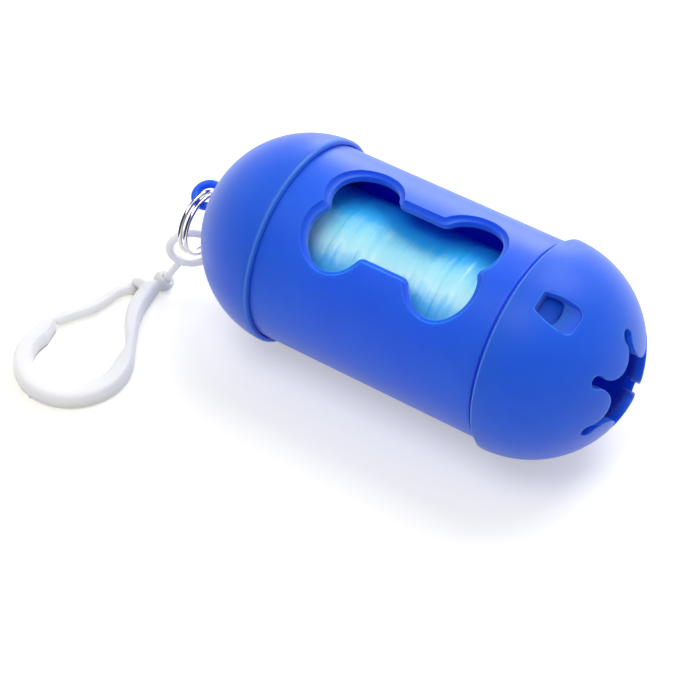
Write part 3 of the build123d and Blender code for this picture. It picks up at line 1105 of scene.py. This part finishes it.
def steel_material():
    """Bright nickel plating, with painted reflections: the dark lines that a dark room draws along
    round wire.
    """
    material, tree = new_material("ring_steel")
    place = stretched(tree, even)
    x, y, z = [tree.add("ShaderNodeSeparateXYZ", values={0: place}, output=i) for i in range(3)]
    out_y = y - ring_at.y * MM
    out_z = z - ring_at.z * MM
    from_axis = x.math("POWER", out_y * out_y + out_z * out_z, 0.5)
    round_ring = x.math("ARCTAN2", out_z, out_y)
    off_ring = x - ring_at.x * MM
    off_turn = off_ring - x.math("SIGN", off_ring, 0.0) * (turn_pitch / 2 * MM)
    round_wire = x.math("ARCTAN2", from_axis - ring_r * MM, off_turn)
    # Painted reflection: dark lines placed round the ring and round the wire.
    middle = between(tree, x.math("COSINE", round_ring * 2.0 - 5.17, 0.0), 0.52, 0.86)
    top = between(tree, x.math("COSINE", round_ring * 2.0 - 3.35, 0.0), 0.70, 0.95)
    wide = middle + top * 0.6
    lines = x.math("COSINE", round_wire * 2.0 + wide * 1.57 + 1.05, 0.0)
    fade = between(tree, x.math("COSINE", round_ring - 1.75, 0.0), -0.15, 0.10)
    dark = between(tree, lines + wide * 0.75, 0.48, 0.85) * fade
    scratch = cloud(tree, place, 5200.0, 2.0, 0.6)
    dull = between(tree, cloud(tree, place, 700.0, 2.0), 0.45, 0.7)
    surface(tree, {
        "Base Color": blend_colours(tree, dark, bright_steel, painted_reflection_dark),
        "Metallic": 1.0,
        "Roughness": dull * 0.14 + 0.10,
        "Normal": bump(tree, scratch, steel_depth)})
    return material


materials["ring_steel"] = steel_material()
print("materials:", ", ".join(materials))

# %% Wire
wire_sides = 20
wire = bmesh.new()
bmesh.ops.create_circle(wire, segments=wire_sides, radius=wire_r, cap_ends=True)
moved(wire, shift((turn_pitch / 2, ring_r, 0)))
moving = wire.faces[:] + wire.edges[:] + wire.verts[:]
wound = 630
stride = 4.5
crossing_from = 270
crossing_over = 90
for i in range(int(wound / stride)):
    ends = [(i * stride - crossing_from) / crossing_over]
    ends.append((i * stride + stride - crossing_from) / crossing_over)
    slide = [-turn_pitch * t * t * (3 - 2 * t) for t in [min(1.0, max(0.0, e)) for e in ends]]
    made = bmesh.ops.spin(wire, geom=moving, axis=(1, 0, 0), dvec=(slide[1] - slide[0], 0, 0),
                          angle=radians(stride), steps=1)
    moving = made["geom_last"]
welded(wire, 0.1 * weld)
inside = [f for f in wire.faces if len(f.verts) == wire_sides]
print("discs along the wire:", len(inside))
bmesh.ops.delete(wire, geom=inside[1:-1], context="FACES_ONLY")
faces_outward(wire)
rounded(wire, [e for f in wire.faces if len(f.verts) == wire_sides for e in f.edges], 0.10, 3)
ring_place = shift(ring_at) @ turned_on("X", radians(45))
finish_piece("steel_ring", wire, ring_place, "split_ring", "ring_steel", "split_ring")

# %% [markdown]
# ## White plastic
# The hook, its gate and the eye are moulded in a softer white plastic that lets a little
# light in, so its shadows are pale. The tone drifts slowly and the bump is a fine grain.

# %% Material of the hook
warm_white = (0.95, 0.945, 0.93, 1.0)
clear_white = (0.975, 0.97, 0.96, 1.0)
white_depth = 0.00001


def white_material():
    """Milky white plastic with a faint grain and a soft gloss."""
    material, tree = new_material("milk_white")
    place = stretched(tree, even)
    drift = between(tree, cloud(tree, place, 160.0, 3.0), 0.3, 0.7)
    grain = cloud(tree, place, 1900.0, 2.0, 0.6)
    surface(tree, {
        "Base Color": blend_colours(tree, drift, warm_white, clear_white),
        "Roughness": drift * 0.08 + 0.30,
        "Normal": bump(tree, grain, white_depth),
        "Subsurface Weight": 1.0,
        "Subsurface Radius": (1.0, 1.0, 1.0),
        "Subsurface Scale": 0.004})
    return material


materials["white_plastic"] = white_material()
print("materials:", ", ".join(materials))

# %% [markdown]
# ## Swivel eye
# The eye is a round loop on a short stem, with a ball at its foot that turns in the hook's
# collar. The loop is spun from a section that has two small ridges, where the mould parted.
# The parts are melted into one skin, which softens the corner between stem and loop.

# %% Eye
ball_r = 1.15
strand_r = 0.75
stem_r = 0.70
half_wide = 4.25
half_long = 3.95
ridge = 1.14
loop_at = eye_reach.length
stem_top = loop_at - half_long
stem_foot = 0.4
eye_voxel = 0.085
eye_roll = radians(97.9)

eye = bmesh.new()
bmesh.ops.create_circle(eye, segments=32, radius=strand_r)
for v in eye.verts:
    if abs(v.co.y) < 0.08:
        v.co.x *= ridge
moved(eye, shift((half_wide, 0, 0)))
full_turn(eye, y_axis, 120)
stretch = Matrix.Diagonal((1, 1, half_long / half_wide, 1))
moved(faces_outward(eye), shift((0, 0, loop_at)) @ stretch)
flared = [(stem_top - 0.3, stem_r + 0.25), (stem_top + 0.25, stem_r + 0.75)]
stem_strokes = [("line", (stem_foot, 0.0)), ("line", (stem_foot, stem_r)),
                ("line", (stem_top - 1.2, stem_r)), ("curve", flared, (1, 0), (0.6, 0.8), 5),
                ("line", (stem_top + 0.25, 0))]
stem = lathe((stem_foot, 0.0), stem_strokes, 48)
moved(stem, turned_on("Y", -pi / 2))
eye = moulded(combine(eye, "UNION", [stem, sphere(ball_r, 48, 32)]), eye_voxel, 3)
along = eye_reach.normalized()
sideways = along.cross(z_axis).normalized()
upper = along.cross(sideways)
across = sideways * cos(eye_roll) + upper * sin(eye_roll)
eye_turn = Matrix((across, along.cross(across), along)).transposed().to_4x4()
eye_place = shift(ball_at) @ eye_turn
finish_piece("eye_loop", eye, eye_place, "swivel_eye", "white_plastic", "swivel_eye", 60)

# %% [markdown]
# ## Hook
# The hook is a flat pear-shaped bar. Its walls lean in a little from a parting line at mid
# height, which catches the light as a fine ridge, and its rims are rounded. The slot for
# the gate is cut out, two ears and a pin are added, and a hollow ball makes the collar.

# %% Hook outline
hook_t = 3.6
mid_height = hook_t / 2 - collar_r
bow_at = (0.0, -26.2)
bow_r = 11.2
bow_in = 7.6
hook_rim = 0.9
hook_lean = 0.12
nose_share = 0.45


def on_bow(radius, degrees):
    """A point round the bow's centre."""
    turn = radians(degrees)
    return (bow_at[0] + radius * cos(turn), bow_at[1] + radius * sin(turn))


def heading(degrees):
    """A direction in the outline's plane."""
    return (cos(radians(degrees)), sin(radians(degrees)))


nose_top = (-10.6, -20.2)
nose_foot = (-8.8, -21.0)
flank = [(1.1, -4.8), (2.3, -9.0), (5.3, -14.2), on_bow(bow_r, 35)]
back = [on_bow(9.59, 52.4), (1.9, -14.0), (-0.4, -10.5), (-1.6, -7.0), (-1.95, -4.0), (-1.95, -1.6)]
pear = [("curve", flank, (0, -1), heading(-55), 10), ("arc", bow_at, -215, 84)]
pear += [("line", (-bow_r, -24.0)), ("line", (-bow_r, -21.4))]
pear += [("curve", [(-11.06, -20.5), nose_top], (0, 1), (0.89, -0.45), 5)]
pear += [("line", nose_foot), ("line", on_bow(bow_in, 170)), ("arc", bow_at, 210, 80)]
pear += [("curve", back, heading(110), (0, 1), 8)]


def rim_share(corner):
    """The rim is narrower on the thin nose than on the rest of the bar."""
    if corner.x > -7.4:
        return 1.0
    rise = min(1.0, max(0.0, (corner.y + 24.2) / 3.2))
    return 1.0 - nose_share * rise * rise * (3 - 2 * rise)


hook = thick(filled((0.4, -1.6), pear), hook_t, hook_rim, hook_lean, share=rim_share)
moved(hook, shift((0, 0, mid_height)))
print("hook plate has", len(hook.faces), "faces and", len(rim_loop(hook)), "open edges")

# %% Gate outline
pivot = (-2.95, -4.1)
gate_line = [pivot, (-5.2, -6.9), (-5.6, -10.0), (-6.3, -13.5), (-8.2, -17.0), (-9.4, -19.4)]
gate_half = 0.9
gate_t = 2.2
slot_t = 2.5


def ribbon(line, half_width):
    """A strip of even width along a line, with round ends, as a flat face."""
    points = [Vector(p) for p in line]
    spans = zip([points[0]] + points[:-1], points[1:] + [points[-1]])
    heads = [(b - a).normalized() for a, b in spans]
    sides = [Vector((-h.y, h.x)) * half_width for h in heads]
    left = [tuple(p + s) for p, s in zip(points, sides)]
    right = [tuple(p - s) for p, s in zip(points, sides)][::-1]
    first, last = heads[0], heads[-1]
    strokes = [("curve", left[1:], tuple(first), tuple(last), 6),
               ("arc", tuple(points[-1]), -180, 12),
               ("curve", right[1:], tuple(-last), tuple(-first), 6),
               ("arc", tuple(points[0]), -180, 12)]
    return filled(left[0], strokes)


def block(flat, thickness):
    """Gives a flat face a plain thickness, centred on the hook's mid height."""
    return prism(flat, mid_height - thickness / 2, thickness)


def bar(centre, radius, thickness, height=mid_height):
    """A short round bar on Z."""
    bm = bmesh.new()
    bmesh.ops.create_cone(bm, cap_ends=True, segments=48, radius1=radius, radius2=radius,
                          depth=thickness)
    return moved(bm, shift((*centre, height)))


# %% Slot, ears and pin
gate_side = 0.3
knuckle_r = 1.05
ear_r = 1.15
pin_r = 0.45
ear_web = (1.58, 2.3)
slot = block(ribbon(gate_line, gate_half + gate_side), slot_t)
knuckle_room = bar(pivot, knuckle_r + gate_side, slot_t)
hook = combine(hook, "DIFFERENCE", [slot, knuckle_room, sphere(collar_r, 64, 48)])
ear_t = (hook_t - slot_t) / 2
ears = []
for side in (-1, 1):
    height = mid_height + side * (hook_t - ear_t) / 2
    ears.append(bar(pivot, ear_r, ear_t, height))
    web_at = (pivot[0] + ear_web[0] / 2, pivot[1], height)
    ears.append(box((*ear_web, ear_t), shift(web_at)))
hook = combine(hook, "UNION", ears + [bar(pivot, pin_r, hook_t - ear_t)])
print("hook with its slot and ears has", len(hook.faces), "faces")

# %% Collar, and the mark where the mould was filled
mouth_reach = 2 * collar_r
mouth_half = radians(50)
mouth_lean = radians(46 - 90)
mouth_turn = -atan2(eye_reach.x, eye_reach.y) + hook_turn
ball_room = 0.07
nub_at = on_bow(bow_r - 0.45, -97)
nub_r = 0.45
nub_t = 0.9
hook_voxel = 0.135

mouth = bmesh.new()
bmesh.ops.create_cone(mouth, cap_ends=True, segments=64, radius1=0.001,
                      radius2=mouth_reach * tan(mouth_half), depth=mouth_reach)
lean = turned_on("Z", mouth_turn) @ turned_on("X", mouth_lean)
moved(mouth, lean @ shift((0, 0, mouth_reach / 2)))
ball_socket = sphere(ball_r + ball_room, 64, 48)
collar = combine(sphere(collar_r, 64, 48), "DIFFERENCE", [ball_socket, mouth])
hook = combine(hook, "UNION", [collar])
nub = bar(nub_at, nub_r, nub_t, mid_height - 1.0)
hook = moulded(combine(hook, "UNION", [nub]), hook_voxel, 3)
finish_piece("hook_bar", hook, hook_place, "hook", "white_plastic", "hook_frame", 60)

# %% [markdown]
# ## Gate
# The gate is a slim strip that bends in an S from the pin to the nose. It is the same ribbon
# as the slot that it lies in, only narrower, with a round knuckle that the pin passes through.

# %% Gate
gate_rim = 0.4
gate_lean = 0.06
pin_hole_r = 0.53
gate_voxel = 0.09
gate = thick(ribbon(gate_line, gate_half), gate_t, gate_rim, gate_lean, 4)
moved(gate, shift((0, 0, mid_height)))
gate = combine(gate, "UNION", [bar(pivot, knuckle_r, gate_t - 0.1)])
gate = combine(gate, "DIFFERENCE", [bar(pivot, pin_hole_r, 2 * hook_t)])
gate = moulded(gate, gate_voxel, 2)
finish_piece("gate_bar", gate, hook_place, "gate", "white_plastic", "hook_gate", 60)

# %% [markdown]
